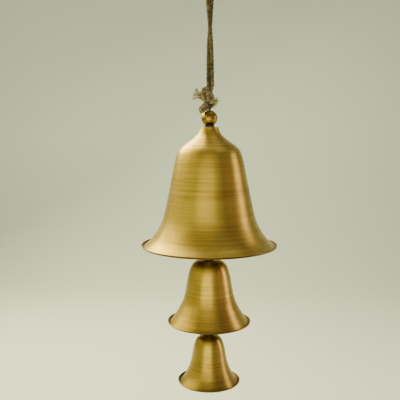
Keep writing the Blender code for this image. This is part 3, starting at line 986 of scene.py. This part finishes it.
def make_object():
    rope, line = make_rope()
    knot_core()
    left = yarn_fan("frayed_yarns_left", LEFT_ROOTS, (-0.9, -0.1, 0.4), LEFT_TIPS, 1.15)
    right = yarn_fan("frayed_yarns_right", RIGHT_ROOTS, (1.1, -0.1, 0.2), RIGHT_TIPS, 1.0)

    bell_shell("large", "large_bell", False)
    make_finial()
    eye_bolt("large", "large_bell", ROPE_EYE_R, ROPE_EYE_WIRE_R, math.pi / 2 + ROPE_EYE_TURN)
    make_fittings("large", "large_bell")
    make_striker("large")
    link_ring("large_ring", "large_link", "large_link")

    for prefix in ("medium", "small"):
        body = prefix + "_bell"
        bell_shell(prefix, body, True)
        disc(prefix + "_washer_outside", prefix + "_top_washer", body, SHANK_R + GAP)
        eye_bolt(prefix, body, EYE_R, WIRE_R, 0)
        make_fittings(prefix, body)
        link_ring(prefix + "_ring", prefix + "_link", prefix + "_link")
        link_ring(prefix + "_inner_ring", prefix + "_inner_link", prefix + "_inner_link")
    make_striker("medium")
    ball("clapper", "small_clapper_ball", "small_clapper", STRIKER_BRASS, "striker_brass",
         CLAPPER_R, ROD_BORE_R, closed_foot=True)
    disc("clapper_stop", "small_collar", "small_clapper", ROD_BORE_R)
    striker_rod("clapper_rod", "small_clapper_rod", "small_clapper", EYE_R, False)


# ---------------------------------------------------------------- stage and light

FLOOR_Z = -1.02
STAGE_HALF_WIDTH = 4.0
STAGE_FRONT_Y = -4.0
WALL_Y = 2.3
WALL_TOP_Z = 3.2
SWEEP = 0.7  # radius of the curve between floor and wall
AIM = Vector((0, 0, -430 * MM))  # what every lamp faces
WORLD_COLOUR = (0.8, 0.76, 0.62, 1)
WORLD_STRENGTH = 0.2


def make_stage():
    """A pale floor that curves up into a backdrop."""
    turn = np.radians(np.linspace(0, 90, 17))
    side = [(STAGE_FRONT_Y, FLOOR_Z)]
    side += [(WALL_Y - SWEEP + SWEEP * math.sin(a), FLOOR_Z + SWEEP - SWEEP * math.cos(a)) for a in turn]
    side += [(WALL_Y, WALL_TOP_Z)]
    mesh = bpy.data.meshes.new("backdrop")
    points = [(x, y, z) for x in (-STAGE_HALF_WIDTH, STAGE_HALF_WIDTH) for y, z in side]
    n = len(side)
    mesh.from_pydata(points, [], [(i, i + 1, n + i + 1, n + i) for i in range(n - 1)])
    mesh.shade_smooth()
    mesh.materials.append(stage_paint("pale_paint", (0.86, 0.95, 0.92), 0.75))
    o = bpy.data.objects.new("backdrop", mesh)
    bpy.context.scene.collection.objects.link(o)


# Name, azimuth (0 from the front, 90 from the right), elevation, distance, width, height, watts, colour
LIGHTS = [
    ("sky", -146, 58, 1.7, 1.0, 1.0, 22, (1.0, 0.93, 0.6)),
    ("low_sky", -143, 35, 1.7, 1.2, 0.8, 46, (1.0, 0.88, 0.4)),
    ("shoulder", -98, 45, 0.78, 0.3, 0.4, 1.6, (1.0, 0.9, 0.48)),
    ("garden", -84, 25, 1.8, 2.8, 0.9, 11, (0.98, 1.0, 0.36)),
    ("front", -12, -10, 2.0, 2.0, 1.1, 35, (1.0, 0.96, 0.45)),
    ("front_fill", 4, 20, 2.2, 2.6, 0.9, 4.5, (1.0, 0.88, 0.65)),
    ("brown_gap", 58, 4, 1.9, 0.8, 1.6, 1.3, (1.0, 0.45, 0.65)),
    ("warm_side", 95, 0, 1.6, 0.5, 1.7, 9.5, (1.0, 0.82, 0.8)),
    ("overhead", 160, 82, 1.6, 2.0, 1.0, 5.5, (1.0, 0.98, 0.85)),
]


def make_lights():
    for name, azimuth, elevation, distance, width, height, watts, colour in LIGHTS:
        data = bpy.data.lights.new(name, "AREA")
        data.shape = "RECTANGLE"
        data.size = width
        data.size_y = height
        data.energy = watts
        data.color = colour
        o = bpy.data.objects.new(name, data)
        a, e = math.radians(azimuth), math.radians(elevation)
        out = Vector((math.sin(a) * math.cos(e), -math.cos(a) * math.cos(e), math.sin(e)))
        o.location = AIM + out * distance
        o.rotation_euler = out.to_track_quat("Z", "Y").to_euler()
        o.visible_camera = False
        bpy.context.scene.collection.objects.link(o)
    world = bpy.data.worlds.new("soft_world")
    world.use_nodes = True
    background = world.node_tree.nodes["Background"]
    background.inputs["Color"].default_value = WORLD_COLOUR
    background.inputs["Strength"].default_value = WORLD_STRENGTH
    bpy.context.scene.world = world


make_camera()
make_object()
make_stage()
make_lights()
